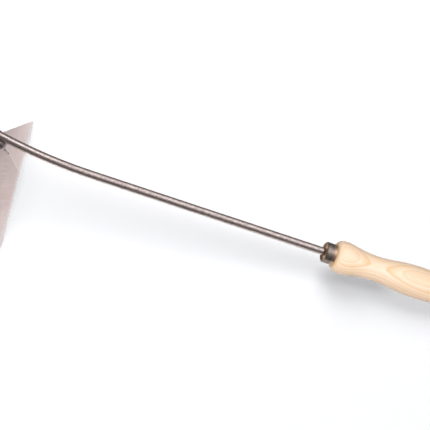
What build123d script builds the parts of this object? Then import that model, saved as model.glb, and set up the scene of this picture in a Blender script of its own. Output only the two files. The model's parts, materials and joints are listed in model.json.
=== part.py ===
from build123d import *
from math import acos, asin, atan2, cos, degrees, radians, sin, sqrt
import os

# Short-handled winged draw hoe, in millimetres, in the pose in which it lies on a bench.
#
# Five rigid pieces: a creased steel blade, a round steel shaft bent up to the top of the blade, the
# weld that joins them, a steel ferrule and a turned ash handle that holds the shaft's tang.
#
# Everything is first laid out in the tool's own frame, which rest_frame then lowers onto the bench:
# X runs from the blade to the handle along the handle's axis, Y across the blade, Z up. Its origin is
# the middle of the cutting edge. The tool is symmetrical about the plane Y = 0.

# ---------------------------------------------------------------- driving dimensions
# Blade: one plate with a crease from the middle of the cutting edge to the top corner.
crease_length = 67.0
edge_length = 85.0            # each half of the cutting edge, to its sharp corner
edge_sweep = 15.5             # degrees by which each half edge drops below square to the crease
wing_fold = 6.8               # degrees by which each wing falls away from the handle's side
blade_rake = 58.0             # degrees from the handle's axis up to the crease
plate_thickness = 2.2
bevel_width = 4.0             # ground band along the cutting edge, on the side away from the handle
edge_land = 0.4               # thickness left at the sharpened edge
tip_radius = 0.5
crease_radius = 4.0

# Shaft: a round bar, straight from its tang to a long gentle bend.
shaft_diameter = 8.6
shaft_height = 39.1           # from the middle of the cutting edge up to the handle's axis
bend_radius = 332.0
weld_inset = 1.6              # the shaft's centre meets the crease this far below the top corner
tang_length = 63.0            # held inside the handle, behind the shoulder

# Weld: a low collar round the joint and a broad bead in the narrow corner below the shaft.
collar_leg = 1.5
collar_taper = 30.0           # degrees
collar_overhang = 1.2         # how far the collar laps past the plate's upper edges
bead_leg = 7.5                # the bead runs this far down the crease from the shaft
bead_rise = 4.5               # and this far along the shaft's underside
bead_width = 17.0
bead_crown = 1.0              # how far its face bulges

# Ferrule: a plain steel ring on the handle's nose.
ferrule_reach = 328.8         # from the middle of the cutting edge to the ferrule's front face
ferrule_diameter = 22.6
ferrule_wall = 1.8
ferrule_length = 11.2
ferrule_chamfer = 0.7
ferrule_fit = 0.05            # radial room between the ring and the nose

# Handle: turned, with a bulb at the front, a waist, and a long swell for the palm.
nose_recess = 2.4             # the nose stops this far inside the ring's front face
tang_fit = 0.05               # radial room for glue round the tang
bore_overrun = 3.0            # the bore runs this far past the tang's end
mouth_chamfer = 0.8
bulb_diameter = 35.0
bulb_place = 10.6             # behind the shoulder
waist_diameter = 26.7
waist_place = 48.0            # behind the shoulder
swell_diameter = 34.5
swell_place = 99.2            # behind the shoulder
handle_length = 145.2         # from the shoulder to the butt
bulb_arc = 52.0               # radius of the bulb's long profile
swell_arc = 206.0             # radius of the swell's long profile
shoulder_round = 7.2
butt_round = 10.0


def xz(x, z):
    """A point of the mirror plane, in the tool's frame."""
    return Vector(x, 0, z)


# ---------------------------------------------------------------- directions of the blade
rake = radians(blade_rake)
fold = radians(wing_fold)
slant = radians(edge_sweep)
up_crease = xz(-cos(rake), sin(rake))
ahead = xz(-sin(rake), -cos(rake))                       # square to the crease, away from the handle
aside = Vector(0, -1, 0)
wing_back = ahead * -cos(fold) + aside * sin(fold)       # outward normal on the handle's side
wing_out = aside * cos(fold) + ahead * sin(fold)         # across the wing, from the crease
tip_flat = (-edge_length * sin(slant), edge_length * cos(slant))

# ---------------------------------------------------------------- places along the axis
shoulder = ferrule_reach + ferrule_length
bulb_x = shoulder + bulb_place
waist_x = shoulder + waist_place
swell_x = shoulder + swell_place
butt_x = shoulder + handle_length
tang_end = shoulder + tang_length
nose_front = ferrule_reach + nose_recess

# The shaft's centre line ends on the crease. Its bend leaves the axis tangentially.
joint_along = crease_length - weld_inset
joint = up_crease * joint_along
bend_rise = joint.Z - shaft_height
bend_angle = acos(1 - bend_rise / bend_radius)
bend_start = joint.X + bend_radius * sin(bend_angle)

# The shaft leans on the crease, so its mitred end covers an ellipse there.
lean = rake - bend_angle
joint_half_length = shaft_diameter / 2 / sin(lean)


# ---------------------------------------------------------------- how it lies on the bench
def tip_contact():
    """The lowest point of a rounded blade tip, on the ground band away from the handle."""
    to_middle = Vector(-tip_flat[0], -tip_flat[1], 0).normalized()
    to_corner = Vector(crease_length - tip_flat[0], -tip_flat[1], 0).normalized()
    half_angle = radians(to_middle.get_angle(to_corner)) / 2
    centre = Vector(tip_flat[0], tip_flat[1], 0)
    centre += (to_middle + to_corner).normalized() * (tip_radius / sin(half_angle))
    down = Vector(0, 0, -1)
    down_in_wing = (down - wing_back * down.dot(wing_back)).normalized()
    lowest = up_crease * centre.X + wing_out * centre.Y + down_in_wing * tip_radius
    from_edge = lowest.dot(up_crease * cos(slant) + wing_out * sin(slant))
    return lowest - wing_back * (edge_land + (plate_thickness - edge_land) * from_edge / bevel_width)


touch = tip_contact()
swell_centre_z = shaft_height - swell_diameter / 2 + swell_arc
to_swell = xz(swell_x - touch.X, swell_centre_z - touch.Z)
pitch = atan2(to_swell.Z, to_swell.X) - asin(swell_arc / to_swell.length)


def tilted_x(point):
    return point.X * cos(pitch) + point.Z * sin(pitch)


def tilted_z(point):
    return point.Z * cos(pitch) - point.X * sin(pitch)


# The origin is below the middle of the length: from the blade's top corner, or the shaft's end if
# that reaches further, to the rounded butt.
butt_radius = swell_diameter / 2 - (butt_x - swell_x) ** 2 / (2 * swell_arc)
butt_round_drop = swell_arc - sqrt((swell_arc - butt_round) ** 2 - (butt_x - butt_round - swell_x) ** 2)
butt_round_centre = xz(butt_x - butt_round, shaft_height + swell_diameter / 2 - butt_round_drop)
front_x = min(tilted_x(up_crease * crease_length + ahead * plate_thickness),
              tilted_x(up_crease * (joint_along + joint_half_length)))
rear_x = tilted_x(butt_round_centre) + butt_round

rest_frame = Location((-(front_x + rear_x) / 2, 0, -tilted_z(touch)), (0, degrees(pitch), 0))


def at_rest(origin, x_dir, z_dir):
    """A plane given in the tool's frame, laid on the bench with the tool."""
    return Plane(rest_frame * Plane(origin=origin, x_dir=x_dir, z_dir=z_dir).location)


along = Vector(1, 0, 0)
axis_point = xz(0, shaft_height)
side = at_rest(axis_point, along, aside)          # local x along the handle's axis, y off it
handle_axis = Axis(side.origin, side.x_dir)
wing_plane = at_rest(xz(0, 0), up_crease, wing_back)
ridge_plane = at_rest(joint, up_crease, ahead * -1)
bevel_plane = at_rest(xz(0, 0), up_crease * cos(slant) + wing_out * sin(slant),
                      up_crease * sin(slant) - wing_out * cos(slant))
flush_plane = at_rest(up_crease * crease_length, ahead, up_crease)
shaft_radius = shaft_diameter / 2


# ---------------------------------------------------------------- blade
spare = plate_thickness       # how far cutters stand outside the plate

with BuildPart() as blade:
    with BuildSketch(wing_plane) as wing_outline:
        with BuildLine():
            Polyline((0, 0), (crease_length, 0), tip_flat, close=True)
        make_face()
        fillet(wing_outline.vertices().sort_by(Axis.Y)[-1], tip_radius)
    extrude(amount=-plate_thickness)
    split(bisect_by=Plane.XZ, keep=Keep.TOP)
    with BuildSketch(bevel_plane):
        with BuildLine():
            Polyline((-spare, -edge_land), (0, -edge_land), (bevel_width, -plate_thickness),
                     (bevel_width, -plate_thickness - spare), (-spare, -plate_thickness - spare),
                     close=True)
        make_face()
    extrude(amount=edge_length * 2, both=True, mode=Mode.SUBTRACT)
    mirror(about=Plane.XZ)
    crease_edges = blade.edges().filter_by(lambda edge: abs(edge.center().Y) < 0.01)
    fillet(crease_edges.sort_by(SortBy.LENGTH)[-2:], crease_radius)
blade.part.label = "blade"


# ---------------------------------------------------------------- shaft
shaft_end = (joint.X - shaft_diameter * cos(bend_angle), bend_rise + shaft_diameter * sin(bend_angle))

with BuildPart() as shaft:
    with BuildLine(side) as shaft_line:
        Line((tang_end, 0), (bend_start, 0))
        TangentArc((bend_start, 0), (joint.X, bend_rise), tangent=(-1, 0))
        Line((joint.X, bend_rise), shaft_end)
    with BuildSketch(at_rest(xz(tang_end, shaft_height), aside, along * -1)):
        Circle(shaft_radius)
    sweep()
    split(bisect_by=ridge_plane, keep=Keep.TOP)
shaft.part.label = "shaft"


# ---------------------------------------------------------------- weld
weld_root = ridge_plane.offset(-plate_thickness / 2)
bead_plane = at_rest(joint, up_crease, aside * -1)         # local y off the crease, to the handle
bead_foot = joint_half_length + bead_leg
bead_head = joint_half_length + bead_rise
bead_top = (-bead_head * cos(lean), bead_head * sin(lean))
bead_slope = atan2(bead_top[1], bead_foot + bead_top[0])
bead_middle = ((bead_top[0] - bead_foot) / 2 - bead_crown * sin(bead_slope),
               bead_top[1] / 2 + bead_crown * cos(bead_slope))
corner_slope = tip_flat[1] / (crease_length - tip_flat[0])     # the plate's half width per length
corner_along = weld_inset + collar_overhang / sin(atan2(corner_slope, 1))
collar_reach = joint_half_length + collar_leg

with BuildPart() as bead:
    with BuildSketch(bead_plane):
        with BuildLine():
            ThreePointArc((-bead_foot, 0), bead_middle, bead_top)
            Polyline(bead_top, (0, 0), (0, -plate_thickness / 2), (-bead_foot, -plate_thickness / 2),
                     (-bead_foot, 0))
        make_face()
    extrude(amount=bead_width, both=True)
    with BuildSketch(weld_root):
        Ellipse(bead_foot, bead_width / 2)
    extrude(amount=bead_foot, mode=Mode.INTERSECT)

with BuildPart() as weld:
    with BuildSketch(weld_root):
        Ellipse(collar_reach, shaft_radius + collar_leg)
        with BuildLine():
            Polyline((corner_along, 0), (-collar_reach, (corner_along + collar_reach) * corner_slope),
                     (-collar_reach, -(corner_along + collar_reach) * corner_slope), close=True)
        make_face(mode=Mode.INTERSECT)
    extrude(amount=collar_leg + plate_thickness / 2, taper=collar_taper)
    add(bead.part)
    split(bisect_by=flush_plane, keep=Keep.BOTTOM)
    add(shaft.part, mode=Mode.SUBTRACT)
    add(blade.part, mode=Mode.SUBTRACT)
weld.part.label = "weld"


# ---------------------------------------------------------------- ferrule
ferrule_radius = ferrule_diameter / 2
ferrule_bore = ferrule_radius - ferrule_wall

with BuildPart() as ferrule:
    with BuildSketch(side) as ferrule_section:
        with BuildLine():
            Polyline((ferrule_reach, ferrule_bore), (shoulder, ferrule_bore),
                     (shoulder, ferrule_radius), (ferrule_reach, ferrule_radius), close=True)
        make_face()
        front_corners = ferrule_section.vertices().group_by(Axis.X)[0]
        chamfer(front_corners, ferrule_chamfer)
    revolve(axis=handle_axis)
ferrule.part.label = "ferrule"


# ---------------------------------------------------------------- handle
def between(high, low, high_radius):
    """Where two arcs meet that run level at a high and a low point: convex, then hollow.

    The hollow arc's radius is what is left of the sum that joins both points smoothly.
    """
    run, drop = low[0] - high[0], high[1] - low[1]
    radius_sum = (run ** 2 + drop ** 2) / (2 * drop)
    share = high_radius / radius_sum
    return (high[0] + run * share, high[1] - drop * share)


bulb_top = (bulb_x, bulb_diameter / 2)
waist_top = (waist_x, waist_diameter / 2)
swell_top = (swell_x, swell_diameter / 2)
bulb_turn = between(bulb_top, waist_top, bulb_arc)
swell_turn = between(swell_top, waist_top, swell_arc)
bulb_start = (shoulder, bulb_top[1] - bulb_place ** 2 / (2 * bulb_arc))
butt_start = (butt_x, butt_radius)
nose_radius = ferrule_bore - ferrule_fit
shoulder_wall = bulb_start[1] - nose_radius          # the bare face that the rounding is cut from
bore_radius = shaft_radius + tang_fit

with BuildPart() as handle:
    with BuildSketch(side) as handle_section:
        with BuildLine():
            Polyline((shoulder, nose_radius), (shoulder, bulb_start[1]))
            TangentArc(bulb_top, bulb_start, tangent=(-1, 0))
            TangentArc(bulb_top, bulb_turn, tangent=(1, 0))
            TangentArc(waist_top, bulb_turn, tangent=(-1, 0))
            TangentArc(waist_top, swell_turn, tangent=(1, 0))
            TangentArc(swell_top, swell_turn, tangent=(-1, 0))
            TangentArc(swell_top, butt_start, tangent=(1, 0))
            Polyline(butt_start, (butt_x, 0), (nose_front, 0), (nose_front, nose_radius),
                     (shoulder, nose_radius))
        make_face()
        for corner, radius in ((bulb_start, min(shoulder_round, 1.1 * shoulder_wall)),
                               (butt_start, butt_round)):
            fillet(handle_section.vertices().sort_by_distance((*corner, 0))[0], radius)
    revolve(axis=handle_axis)
    with BuildSketch(at_rest(xz(nose_front, shaft_height), aside, along)):
        Circle(bore_radius)
    extrude(amount=tang_end + bore_overrun - nose_front, mode=Mode.SUBTRACT)
    mouth = handle.edges().filter_by(GeomType.CIRCLE).sort_by(handle_axis)[:2]
    chamfer(mouth.sort_by(SortBy.RADIUS)[0], mouth_chamfer)
handle.part.label = "handle"


# ---------------------------------------------------------------- export
os.makedirs("parts", exist_ok=True)
for piece in (blade, shaft, weld, ferrule, handle):
    export_step(piece.part, f"parts/{piece.part.label}.step")
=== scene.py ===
"""The looks of the winged draw hoe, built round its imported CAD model. Metres, in the row frame."""

import json
from math import acos, asin, copysign, cos, exp, pi, radians, sin, sqrt, tan

import bmesh
import bpy
from mathutils import Matrix, Vector


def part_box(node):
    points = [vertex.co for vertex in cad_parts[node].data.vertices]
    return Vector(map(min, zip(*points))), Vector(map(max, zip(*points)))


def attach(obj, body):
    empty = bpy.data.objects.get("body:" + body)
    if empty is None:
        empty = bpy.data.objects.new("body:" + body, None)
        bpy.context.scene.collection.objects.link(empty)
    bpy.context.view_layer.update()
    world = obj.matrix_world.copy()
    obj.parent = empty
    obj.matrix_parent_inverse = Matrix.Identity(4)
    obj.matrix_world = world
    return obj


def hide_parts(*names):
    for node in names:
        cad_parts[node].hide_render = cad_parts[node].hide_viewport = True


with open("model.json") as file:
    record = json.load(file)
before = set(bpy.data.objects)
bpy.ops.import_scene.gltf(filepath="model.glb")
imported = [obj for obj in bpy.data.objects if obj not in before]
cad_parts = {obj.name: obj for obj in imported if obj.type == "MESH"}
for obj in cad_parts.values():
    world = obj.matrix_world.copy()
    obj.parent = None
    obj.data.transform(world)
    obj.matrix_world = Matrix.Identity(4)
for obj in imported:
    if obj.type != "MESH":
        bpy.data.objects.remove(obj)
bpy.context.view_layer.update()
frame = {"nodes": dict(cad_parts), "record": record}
MM = 0.001


# ================================================================ places, from the record
def reach(node, origin, direction):
    """How far a CAD node reaches from origin, least and most, along direction."""
    spans = [(vertex.co - origin).dot(direction) for vertex in frame["nodes"][node].data.vertices]
    return min(spans), max(spans)


mounts = {mount["name"]: mount for mount in frame["record"]["mounts"]}
across = Vector((0, 1, 0))                                 # to the far side
axis_point = Vector(mounts["grip"]["pos_m"])               # on the handle's axis, at the waist
to_butt = Vector(mounts["grip"]["axis"]).normalized()
off_axis = to_butt.cross(across).normalized()              # square to the axis, upwards
shoulder = reach("ferrule", axis_point, to_butt)[1]

# The wing's mount lies on the near wing, on its face away from the handle. wing_back is square to it.
far_face = Vector(mounts["wing_face"]["pos_m"])
wing_back = -Vector(mounts["wing_face"]["axis"]).normalized()      # to the handle's side
up_crease = Vector((-wing_back.z, 0, wing_back.x)).normalized()
wing_out = wing_back.cross(up_crease).normalized()         # across the near wing, from the crease
ridge_back = Vector((up_crease.z, 0, -up_crease.x))        # off the crease, to the handle's side
far_crease = far_face + wing_out * (-far_face.y / wing_out.y)
crease_point = far_crease + ridge_back * reach("blade", far_crease, ridge_back)[1]     # on the ridge

# The cutting edge sweeps down from square to the crease. This runs square to it, into the near wing.
EDGE_SWEEP = radians(15.5)
CREASE_ZONE = 10 * MM                                      # the crease's rounding lies well inside this
off_edge = up_crease * cos(EDGE_SWEEP) + wing_out * sin(EDGE_SWEEP)
blade_points = [vertex.co for vertex in frame["nodes"]["blade"].data.vertices]
crease_top = max((point - crease_point).dot(up_crease) for point in blade_points if abs(point.y) < MM)
edge_start = min((point - crease_point).dot(off_edge) for point in blade_points if point.y < -CREASE_ZONE)

# The shaft runs straight out of the handle and then bends up to its joint, near the crease's top.
BEND_RADIUS = 332.0 * MM
WELD_INSET = 1.6 * MM                                      # from the joint up to the plate's corner
TIP_BLUNTING = 0.15 * MM                                   # taken off the mitred end's sharp tip
shaft_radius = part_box("shaft")[1].y
tang_end = reach("shaft", axis_point, to_butt)[1]
shaft_top = reach("shaft", crease_point, up_crease)[1] - TIP_BLUNTING
joint = crease_point + up_crease * (crease_top - WELD_INSET)
bend_angle = acos(1 - (joint - axis_point).dot(off_axis) / BEND_RADIUS)
bend_start = (joint - axis_point).dot(to_butt) + BEND_RADIUS * sin(bend_angle)
lean = asin(up_crease.dot(off_axis)) - bend_angle          # between the shaft's end and the crease


# ================================================================ node graphs
class Graph:
    """A node tree whose nodes are made and wired one call at a time."""

    def __init__(self, tree):
        self.tree = tree

    def node(self, kind, inputs=(), **settings):
        """Adds a node. An input that is another node's socket is wired, and any other is set."""
        made = self.tree.nodes.new("ShaderNode" + kind)
        for key, value in settings.items():
            setattr(made, key, value)
        for key, value in dict(inputs).items():
            self.feed(made, key, value)
        return made

    def feed(self, node, key, value):
        if isinstance(value, bpy.types.NodeSocket):
            self.tree.links.new(value, node.inputs[key])
        else:
            node.inputs[key].default_value = value

    def math(self, operation, first, second=0.0, third=0.0, clamp=False):
        inputs = {0: first, 1: second, 2: third}
        return self.node("Math", inputs, operation=operation, use_clamp=clamp).outputs[0]

    def dot(self, first, second):
        return self.node("VectorMath", {0: first, 1: second}, operation="DOT_PRODUCT").outputs["Value"]

    def vector(self, x, y, z=0.0):
        return self.node("CombineXYZ", {0: x, 1: y, 2: z}).outputs[0]

    def scaled(self, x, y, z, scales):
        """A texture vector from three distances, each with its own frequency per millimetre."""
        return self.vector(*(self.math("MULTIPLY", value, scale)
                             for value, scale in zip((x, y, z), scales)))

    def noise(self, vector, scale=1.0, detail=3.0, roughness=0.5, distortion=0.0):
        return self.node("TexNoise", {"Vector": vector, "Scale": scale, "Detail": detail,
                                      "Roughness": roughness, "Distortion": distortion}).outputs["Fac"]

    def between(self, value, low, high, start=0.0, end=1.0):
        """A smooth step: start up to low, end from high on."""
        return self.node("MapRange", {"Value": value, "From Min": low, "From Max": high,
                                      "To Min": start, "To Max": end},
                         interpolation_type="SMOOTHSTEP").outputs["Result"]

    def ramp(self, value, *stops):
        """Colours or greys at places from 0 to 1."""
        node = self.node("ValToRGB", {"Fac": value})
        ramp = node.color_ramp
        while len(ramp.elements) < len(stops):
            ramp.elements.new(1.0)
        for element, (position, colour) in zip(ramp.elements, stops):
            element.position = position
            element.color = (*colour, 1.0) if hasattr(colour, "__len__") else (colour,) * 3 + (1.0,)
        return node.outputs["Color"]

    def mix(self, share, first, second, blend="MIX"):
        node = self.node("Mix", data_type="RGBA", blend_type=blend)
        for index, value in ((0, share), (6, first), (7, second)):
            if isinstance(value, tuple):
                value = (*value, 1.0)
            self.feed(node, index, value)
        return node.outputs[2]


class Looks(Graph):
    """A procedural material round one Principled shader."""

    def __init__(self, name):
        self.material = bpy.data.materials.new(name)
        self.material.use_nodes = True
        super().__init__(self.material.node_tree)
        self.shader = self.tree.nodes["Principled BSDF"]

    def set(self, **inputs):
        """Sets or wires the shader's inputs, named with underscores for spaces."""
        for key, value in inputs.items():
            self.feed(self.shader, key.replace("_", " "), value)

    def place(self):
        """The point in the row frame. Every piece sits at the origin, so this follows the piece."""
        return self.node("TexCoord").outputs["Object"]

    def along(self, origin, direction):
        """How far the point lies from origin along direction, in millimetres."""
        offset = self.node("VectorMath", {0: self.place(), 1: origin}, operation="SUBTRACT")
        return self.dot(offset.outputs[0], Vector(direction) / MM)

    def bump(self, height, strength, distance):
        return self.node("Bump", {"Height": height, "Strength": strength,
                                  "Distance": distance}).outputs["Normal"]


# ================================================================ materials
def blade_steel():
    """Satin plate, ground in streaks that run from the crease out to each tip, worn at its edges. It also
    carries painted light: a painted reflection that lightens it towards the tips, painted shade round the
    shaft's joint and a painted highlight along the crease.
    """
    looks = Looks("blade_steel")
    up = looks.along(crease_point, up_crease)
    out = looks.math("DIVIDE", looks.math("ABSOLUTE", looks.along(crease_point, across)), -wing_out.y)
    side = looks.math("SIGN", looks.along(crease_point, across))
    streak_angle = radians(33)
    with_streak = looks.math("ADD", looks.math("MULTIPLY", up, cos(streak_angle)),
                             looks.math("MULTIPLY", out, sin(streak_angle)))
    over_streak = looks.math("SUBTRACT", looks.math("MULTIPLY", out, cos(streak_angle)),
                             looks.math("MULTIPLY", up, sin(streak_angle)))
    fine = looks.noise(looks.scaled(with_streak, over_streak, side, (0.05, 4.0, 7.0)), detail=4)
    broad = looks.noise(looks.scaled(with_streak, over_streak, side, (0.03, 0.5, 5.0)), detail=3)
    cloud = looks.noise(looks.scaled(up, out, side, (0.05, 0.05, 3.0)), detail=4, roughness=0.6)

    streaks = looks.math("MULTIPLY_ADD", fine, 0.4, looks.math("MULTIPLY", broad, 0.6))
    colour = looks.ramp(streaks, (0.3, (0.62, 0.49, 0.47)), (0.5, (0.71, 0.575, 0.555)),
                        (0.7, (0.79, 0.66, 0.64)))
    colour = looks.mix(looks.between(cloud, 0.40, 0.70, 0.0, 0.5), colour, (0.78, 0.66, 0.64))
    # Painted reflection: the steel is made lighter towards the tips, where it shows more of the bright
    # floor.
    painted_reflection_to_tip = looks.between(out, 35, 80, 0.0, 0.6)
    colour = looks.mix(painted_reflection_to_tip, colour, (0.86, 0.76, 0.745))
    # Painted shade: the steel is made darker round the shaft's joint.
    near_joint = looks.node("VectorMath", {0: looks.place(), 1: joint}, operation="DISTANCE")
    painted_shade_at_joint = looks.between(near_joint.outputs["Value"], 8 * MM, 34 * MM, 0.45, 0.0)
    colour = looks.mix(painted_shade_at_joint, colour, (0.52, 0.41, 0.38))
    from_edge = looks.math("MULTIPLY", out, sin(EDGE_SWEEP))
    from_edge = looks.math("MULTIPLY_ADD", up, cos(EDGE_SWEEP), from_edge)
    from_edge = looks.math("SUBTRACT", from_edge, edge_start / MM)
    worn_edge = looks.between(looks.math("MULTIPLY_ADD", cloud, 3.0, from_edge), 2.5, 8.5, 0.5, 0.0)
    # Painted highlight: a lighter line along the crease, where its rounding catches the light. The lighter
    # band at the cutting edge is wear.
    painted_ridge_highlight = looks.between(looks.math("MULTIPLY_ADD", cloud, 0.8, out), 0.9, 1.8, 0.6, 0.0)
    colour = looks.mix(looks.math("MAXIMUM", worn_edge, painted_ridge_highlight), colour, (0.90, 0.81, 0.80))
    looks.set(Base_Color=colour, Metallic=1.0)
    looks.set(Roughness=looks.between(fine, 0.3, 0.7, 0.30, 0.42))
    looks.set(Normal=looks.bump(fine, 0.12, 0.05 * MM))
    return looks.material


def shaft_steel():
    """Satin drawn bar: faint lengthwise lines and a mottled skin."""
    looks = Looks("shaft_steel")
    length = looks.along(axis_point, to_butt)
    beside = looks.along(axis_point, across)
    height = looks.along(axis_point, off_axis)
    drawn = looks.noise(looks.scaled(length, beside, height, (0.02, 3.0, 3.0)), detail=3)
    mottle = looks.noise(looks.scaled(length, beside, height, (0.30, 0.6, 0.6)), detail=5, roughness=0.75)
    colour = looks.ramp(mottle, (0.36, (0.50, 0.41, 0.39)), (0.5, (0.74, 0.615, 0.59)),
                        (0.62, (0.86, 0.74, 0.71)))
    looks.set(Base_Color=colour, Metallic=1.0)
    looks.set(Roughness=looks.between(drawn, 0.3, 0.7, 0.15, 0.23))
    looks.set(Normal=looks.bump(drawn, 0.10, 0.03 * MM))
    return looks.material


def weld_metal():
    """Dark as-welded steel with heat colours."""
    looks = Looks("weld_metal")
    grain = looks.noise(looks.place(), scale=900, detail=4)
    tint = looks.noise(looks.place(), scale=260, detail=2)
    colour = looks.mix(looks.between(tint, 0.35, 0.65), (0.30, 0.25, 0.25), (0.42, 0.36, 0.35))
    looks.set(Base_Color=colour, Metallic=1.0, Roughness=looks.between(grain, 0.3, 0.7, 0.32, 0.5))
    looks.set(Normal=looks.bump(grain, 0.2, 0.08 * MM))
    return looks.material


def ferrule_steel():
    """Dark turned steel with fine rings and brownish patches, with a painted warm reflection of the wood
    near its rear end.
    """
    looks = Looks("ferrule_steel")
    length = looks.along(axis_point, to_butt)
    rings = looks.noise(looks.vector(looks.math("MULTIPLY", length, 5.0), 0.0), detail=4)
    patches = looks.noise(looks.place(), scale=220, detail=4, roughness=0.6)
    colour = looks.ramp(patches, (0.35, (0.30, 0.24, 0.22)), (0.65, (0.48, 0.385, 0.34)))
    # Painted reflection: a warm band near the rear end, for the lit wood mirrored there.
    painted_wood_reflection = looks.between(length, shoulder / MM - 5, shoulder / MM - 1, 0.0, 0.8)
    colour = looks.mix(painted_wood_reflection, colour, (0.84, 0.56, 0.37))
    looks.set(Base_Color=colour, Metallic=1.0)
    looks.set(Roughness=looks.between(rings, 0.3, 0.7, 0.22, 0.34))
    looks.set(Normal=looks.bump(rings, 0.12, 0.03 * MM))
    return looks.material


# The wood's figure, in millimetres.
PITH_DEPTH = 30.0          # the tree's centre runs this far below the axis, away from the best face
PITH_TURN = radians(12)    # the best face, from the top towards the near side
RING_SPACING = 2.3
RING_WARP = 2.4


def ash_wood():
    """Pale oiled ash. Growth rings round a distant pith give ovals on the bulges of the turning."""
    looks = Looks("ash_wood")
    best_face = off_axis * cos(PITH_TURN) - across * sin(PITH_TURN)
    beside_face = to_butt.cross(best_face)
    length = looks.along(axis_point, to_butt)
    depth = looks.along(axis_point, best_face)
    beside = looks.along(axis_point, beside_face)
    warp = looks.noise(looks.scaled(length, depth, beside, (0.03, 0.05, 0.05)), detail=2)
    from_pith = looks.node("VectorMath", {0: looks.vector(looks.math("ADD", depth, PITH_DEPTH), beside)},
                           operation="LENGTH").outputs["Value"]
    from_pith = looks.math("MULTIPLY_ADD", looks.math("SUBTRACT", warp, 0.5), RING_WARP, from_pith)
    ring = looks.math("DIVIDE", from_pith, RING_SPACING)
    phase = looks.math("FRACT", ring)
    year = looks.node("TexWhiteNoise", {"W": looks.math("FLOOR", ring)}, noise_dimensions="1D")
    early = looks.ramp(phase, (0.0, 1.0), (0.12, 0.8), (0.34, 0.30), (0.41, 0.62), (0.48, 0.22),
                       (0.7, 0.06), (0.93, 0.0), (1.0, 1.0))
    early = looks.math("MULTIPLY", early, looks.between(year.outputs["Value"], 0.0, 1.0, 0.45, 1.0))
    fibres = looks.noise(looks.scaled(length, depth, beside, (0.09, 2.2, 2.2)), detail=4, roughness=0.6)
    cloud = looks.noise(looks.scaled(length, depth, beside, (0.02, 0.08, 0.08)), detail=2)
    pores = looks.noise(looks.scaled(length, depth, beside, (0.5, 7.0, 7.0)), detail=1)

    late_wood = looks.mix(looks.between(cloud, 0.35, 0.65), (0.745, 0.57, 0.425), (0.765, 0.62, 0.50))
    colour = looks.mix(looks.math("MULTIPLY", early, 0.97), late_wood, (0.67, 0.425, 0.215))
    colour = looks.mix(looks.between(fibres, 0.42, 0.70, 0.0, 0.40), colour, (0.70, 0.46, 0.27))
    porous = looks.between(early, 0.1, 0.8, 0.15, 0.6)
    pore = looks.math("MULTIPLY", looks.between(pores, 0.66, 0.76), porous)
    colour = looks.mix(pore, colour, (0.46, 0.27, 0.13))
    endwise = looks.dot(looks.node("NewGeometry").outputs["Normal"], to_butt)
    end_grain = looks.between(looks.math("ABSOLUTE", endwise), 0.75, 0.97, 0.0, 0.8)
    colour = looks.mix(end_grain, colour, (0.60, 0.40, 0.22))
    looks.set(Base_Color=colour, Roughness=looks.between(fibres, 0.3, 0.7, 0.42, 0.55))
    looks.set(Specular_IOR_Level=0.35)
    looks.set(Normal=looks.bump(fibres, 0.15, 0.05 * MM))
    return looks.material


# ================================================================ pieces
def dress(node, material):
    """A CAD node that keeps its shape and gets a finish."""
    piece = frame["nodes"][node]
    piece.data.materials.clear()
    piece.data.materials.append(material)
    return piece


def add_piece(name, mesh, material, replaced, smooth_angle=30):
    """Turns a bmesh in the row frame into a piece that rides on the tool."""
    data = bpy.data.meshes.new(name)
    mesh.to_mesh(data)
    mesh.free()
    piece = bpy.data.objects.new(name, data)
    bpy.context.scene.collection.objects.link(piece)
    data.materials.append(material)
    data.shade_smooth()
    data.set_sharp_from_angle(angle=radians(smooth_angle))
    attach(piece, "root")
    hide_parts(replaced)
    return piece


def make_blade():
    """The creased plate, with its sharp edges eased so that they catch the light."""
    mesh = bmesh.new()
    mesh.from_mesh(frame["nodes"]["blade"].data)
    bmesh.ops.remove_doubles(mesh, verts=mesh.verts, dist=0.001 * MM)
    bmesh.ops.dissolve_limit(mesh, angle_limit=radians(0.5), verts=mesh.verts, edges=mesh.edges)
    blade = add_piece("blade_plate", mesh, blade_steel(), "blade")
    ease = blade.modifiers.new("eased_edges", "BEVEL")
    ease.width = 0.15 * MM
    ease.segments = 2
    ease.limit_method = "ANGLE"
    ease.angle_limit = radians(25)
    return blade


def skin(mesh, rings):
    """Joins rings of points, each to the next, by quads."""
    for first, second in zip(rings, rings[1:]):
        for index in range(len(first)):
            following = (index + 1) % len(first)
            mesh.faces.new((first[index], first[following], second[following], second[index]))


def saw_off(mesh, place, inward):
    """Cuts the mesh by the plane through place, keeps the side that inward points to, and closes it."""
    everything = mesh.verts[:] + mesh.edges[:] + mesh.faces[:]
    cut = bmesh.ops.bisect_plane(mesh, geom=everything, plane_co=place, plane_no=inward, clear_inner=True)
    bmesh.ops.edgenet_fill(mesh, edges=[item for item in cut["geom_cut"]
                                        if isinstance(item, bmesh.types.BMEdge)])


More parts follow.
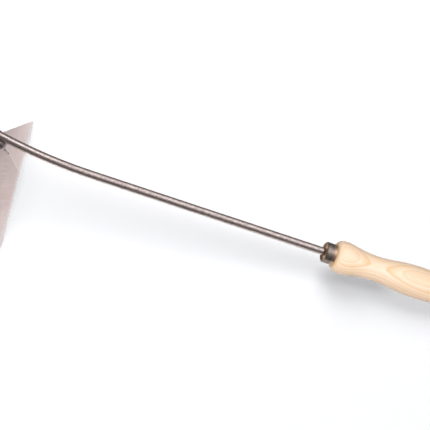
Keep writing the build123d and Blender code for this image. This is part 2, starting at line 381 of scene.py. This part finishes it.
def make_shaft():
    """The round bar, swept finely so that its long bend is smooth, mitred to the crease, tip blunted."""
    sides = 48
    bend_steps = 72
    stations = [(axis_point + to_butt * tang_end, off_axis)]
    for step in range(bend_steps + 1):
        angle = bend_angle * step / bend_steps
        place = axis_point + to_butt * (bend_start - BEND_RADIUS * sin(angle))
        place += off_axis * BEND_RADIUS * (1 - cos(angle))
        stations.append((place, off_axis * cos(angle) + to_butt * sin(angle)))
    spare = (off_axis * sin(bend_angle) - to_butt * cos(bend_angle)) * 3 * shaft_radius
    stations.append((joint + spare, stations[-1][1]))

    mesh = bmesh.new()
    rings = []
    for place, upward in stations:
        rings.append([mesh.verts.new(place + shaft_radius * (upward * cos(turn) + across * sin(turn)))
                      for turn in (2 * pi * side / sides for side in range(sides))])
    skin(mesh, rings)
    mesh.faces.new(rings[0])
    saw_off(mesh, joint, ridge_back)
    saw_off(mesh, crease_point + up_crease * shaft_top, -up_crease)
    bmesh.ops.recalc_face_normals(mesh, faces=mesh.faces)
    return add_piece("shaft_bar", mesh, shaft_steel(), "shaft")


BEAD_TURN = radians(105)                   # the bead stops this far round from its lowest point
BEAD_THIN = 0.8 * MM                       # its radius round the sides
BEAD_HEAVY = 3.2 * MM                      # added where it is heaviest
BEAD_HEAVY_TURN = 0.45                     # that place, in radians from the lowest point, to the near side
BEAD_HEAVY_SPREAD = 0.75                   # radians
RIPPLE_LENGTH = 1.3 * MM
SPATTER = ((20.5, 3.7, 1.0), (24.5, 2.4, 0.6), (29.3, 1.4, 0.8))   # mm: down the crease, out, radius


def make_weld():
    """A rippled bead laid round the foot of the shaft, heaviest in the near corner, with spatter.

    The angle runs round the shaft's foot from its lowest point, positive to the near side."""
    half_length = shaft_radius / sin(lean)
    steps = 260
    sides = 20
    mesh = bmesh.new()
    rings = []
    for step in range(steps + 1):
        share = 2 * step / steps - 1
        angle = BEAD_TURN * share
        flank = Vector((wing_out.x, -copysign(wing_out.y, angle), wing_out.z))
        body = exp(-((angle - BEAD_HEAVY_TURN) / BEAD_HEAVY_SPREAD) ** 4)
        end = sqrt(max(0.0, 1 - abs(share) ** 10))         # rounds off both ends
        size = (BEAD_THIN + BEAD_HEAVY * body) * max(end, 0.03)
        length = angle * (half_length + shaft_radius) / 2
        outward = flank * abs(sin(angle)) - up_crease * cos(angle)
        centre = joint - up_crease * half_length * cos(angle) + flank * shaft_radius * abs(sin(angle))
        centre += outward * 1.25 * size + ridge_back * 0.1 * size
        ring = []
        for side in range(sides):
            around = 2 * pi * side / sides
            ripple = (length / RIPPLE_LENGTH + 0.4 * cos(around)) % 1.0
            radius = size * (1 + 0.07 * ripple)
            height = radius * sin(around) * (0.9 if sin(around) > 0 else 0.3)
            ring.append(mesh.verts.new(centre + outward * radius * cos(around) + ridge_back * height))
        rings.append(ring)
    skin(mesh, rings)
    mesh.faces.new(rings[0])
    mesh.faces.new(rings[-1])
    for down, out, radius in SPATTER:
        place = joint - up_crease * down * MM + wing_out * out * MM
        bmesh.ops.create_icosphere(mesh, subdivisions=2, radius=radius * MM,
                                   matrix=Matrix.Translation(place))
    bmesh.ops.recalc_face_normals(mesh, faces=mesh.faces)
    return add_piece("weld_bead", mesh, weld_metal(), "weld", smooth_angle=50)


blade = make_blade()
shaft = make_shaft()
weld = make_weld()
ferrule = dress("ferrule", ferrule_steel())
handle = dress("handle", ash_wood())
tool = (shaft, weld, blade, ferrule, handle)


# ================================================================ studio
AIM_OFFSET = Vector((4.4, -1.2, 2.5)) * MM             # from the clip's place on the shaft
VIEW_DISTANCE = 1.56                   # m
VIEW_AZIMUTH = radians(-105.54)        # the camera stands on the near side, a little to the blade's end
VIEW_ELEVATION = radians(57.48)
VIEW_ROLL = radians(28.34)
SENSOR_WIDTH = 36.0                    # mm
LENS = 125.6                           # mm

aim = Vector(mounts["shaft_clip"]["pos_m"]) + AIM_OFFSET
to_camera = Vector((cos(VIEW_AZIMUTH) * cos(VIEW_ELEVATION), sin(VIEW_AZIMUTH) * cos(VIEW_ELEVATION),
                    sin(VIEW_ELEVATION)))
level = Vector((0, 0, 1)).cross(to_camera).normalized()
image_right = (Matrix.Rotation(VIEW_ROLL, 3, to_camera) @ level).normalized()
image_up = to_camera.cross(image_right)


def facing(place, x_dir, y_dir, z_dir):
    """The matrix that puts an object at place with these directions as its own axes."""
    return Matrix.Translation(place) @ Matrix((x_dir, y_dir, z_dir)).transposed().to_4x4()


def add_camera():
    camera = bpy.data.objects.new("camera", bpy.data.cameras.new("camera"))
    bpy.context.scene.collection.objects.link(camera)
    camera.data.lens = LENS
    camera.data.sensor_width = SENSOR_WIDTH
    camera.data.clip_end = 20.0
    camera.matrix_world = facing(aim + to_camera * VIEW_DISTANCE, image_right, image_up, to_camera)
    bpy.context.scene.camera = camera


def add_light(name, azimuth, elevation, distance, size, watts):
    """A round soft light, aimed at the middle of the tool. Polished steel doesn't show it."""
    turned = Matrix.Rotation(radians(azimuth), 3, "Z")
    toward = turned @ Vector((cos(radians(elevation)), 0, sin(radians(elevation))))
    beside = turned @ Vector((0, 1, 0))
    light = bpy.data.lights.new(name, "AREA")
    light.shape = "DISK"
    light.size = size
    light.energy = watts
    lamp = bpy.data.objects.new(name, light)
    bpy.context.scene.collection.objects.link(lamp)
    lamp.matrix_world = facing(aim + toward * distance, beside, toward.cross(beside), toward)
    lamp.visible_glossy = False
    lamp.visible_camera = False
    return lamp


SHADOW_LIGHT_DISTANCE = 6.0            # m, far enough to light the floor evenly


def add_shadow_light(name, azimuth, elevation, spread, watts, blockers):
    """A distant light for the floor alone, spread degrees wide. Only the blockers cast its shadow."""
    size = 2 * SHADOW_LIGHT_DISTANCE * tan(radians(spread / 2))
    lamp = add_light(name, azimuth, elevation, SHADOW_LIGHT_DISTANCE, size, watts)
    lamp.light_linking.receiver_collection = group("lit_by_" + name, [floor])
    lamp.light_linking.blocker_collection = group("shading_" + name, blockers)


def group(name, members):
    """A collection, for light linking."""
    collection = bpy.data.collections.new(name)
    for member in members:
        collection.objects.link(member)
    return collection


SHEET_SIZE = 8.0                       # m


def add_sheet(name, drop, material):
    """A level square of the studio, not part of the tool."""
    mesh = bmesh.new()
    bmesh.ops.create_grid(mesh, x_segments=1, y_segments=1, size=SHEET_SIZE / 2)
    bmesh.ops.translate(mesh, verts=mesh.verts, vec=(0, 0, -drop))
    data = bpy.data.meshes.new(name)
    mesh.to_mesh(data)
    mesh.free()
    sheet = bpy.data.objects.new(name, data)
    bpy.context.scene.collection.objects.link(sheet)
    data.materials.append(material)
    return sheet


def floor_finish():
    """Plain matt paper, a touch cool. Its own lights bring it up to white."""
    looks = Looks("floor_paper")
    looks.set(Base_Color=(0.060, 0.0602, 0.0616, 1), Roughness=1.0, Specular_IOR_Level=0.0)
    return looks.material


def card_finish():
    """What polished steel sees of the table: bright near the tool and dark further off."""
    looks = Looks("bounce_card")
    origin = Vector((0, 0, 0))
    beside = looks.along(origin, across)
    length = looks.along(origin, (1, 0, 0))
    near_side = looks.between(beside, -115, -60, 0.14, 1.0)
    far_side = looks.between(beside, 70, 170, 1.0, 0.25)
    blade_end = looks.between(length, -215, -110, 1.0, 0.72)
    glow = looks.math("MULTIPLY", looks.math("MULTIPLY", near_side, far_side), blade_end)
    looks.set(Base_Color=(0, 0, 0, 1), Roughness=1.0, Specular_IOR_Level=0.0)
    looks.set(Emission_Color=(1, 1, 1, 1), Emission_Strength=glow)
    return looks.material


def add_world():
    """Soft light from overhead, a softbox beyond the handle's end, and a white backdrop."""
    world = bpy.data.worlds.new("studio")
    world.use_nodes = True
    bpy.context.scene.world = world
    graph = Graph(world.node_tree)
    direction = graph.node("TexCoord").outputs["Generated"]
    overhead = graph.dot(direction, Vector((0, 0.05, 1)).normalized())
    sky = graph.ramp(overhead, (0.0, 0.18), (0.30, 0.16), (0.70, 0.38), (0.93, 1.0), (1.0, 1.2))
    past_handle = graph.dot(direction, Vector((0.72, 0.0, 0.69)).normalized())
    softbox = graph.between(past_handle, 0.88, 0.995, 0.0, 0.9)
    sky = graph.mix(1.0, sky, softbox, blend="ADD")
    seen = graph.node("LightPath").outputs["Is Camera Ray"]
    sky = graph.mix(seen, sky, (1.0, 1.0, 1.0))
    graph.feed(graph.tree.nodes["Background"], "Color", sky)


floor = add_sheet("floor", 0.05 * MM, floor_finish())
floor.visible_glossy = False
card = add_sheet("bounce_card", 0.5 * MM, card_finish())
card.visible_camera = False
card.visible_diffuse = False
card.visible_transmission = False
card.visible_shadow = False
add_world()
front = add_light("front", azimuth=-102, elevation=53, distance=1.4, size=0.8, watts=19.0)
top = add_light("top", azimuth=115, elevation=70, distance=1.4, size=0.8, watts=4.0)
for lamp in (front, top):
    lamp.light_linking.receiver_collection = group("lit_by_" + lamp.name, tool)
add_shadow_light("over", 150, 78, spread=58, watts=4720.0, blockers=(shaft, blade, weld))
add_shadow_light("behind", 115, 49, spread=44, watts=3230.0, blockers=(handle, ferrule))
add_shadow_light("blade_side", -135, 46, spread=36, watts=455.0, blockers=(blade,))
add_camera()
bpy.context.scene.view_settings.view_transform = "Standard"
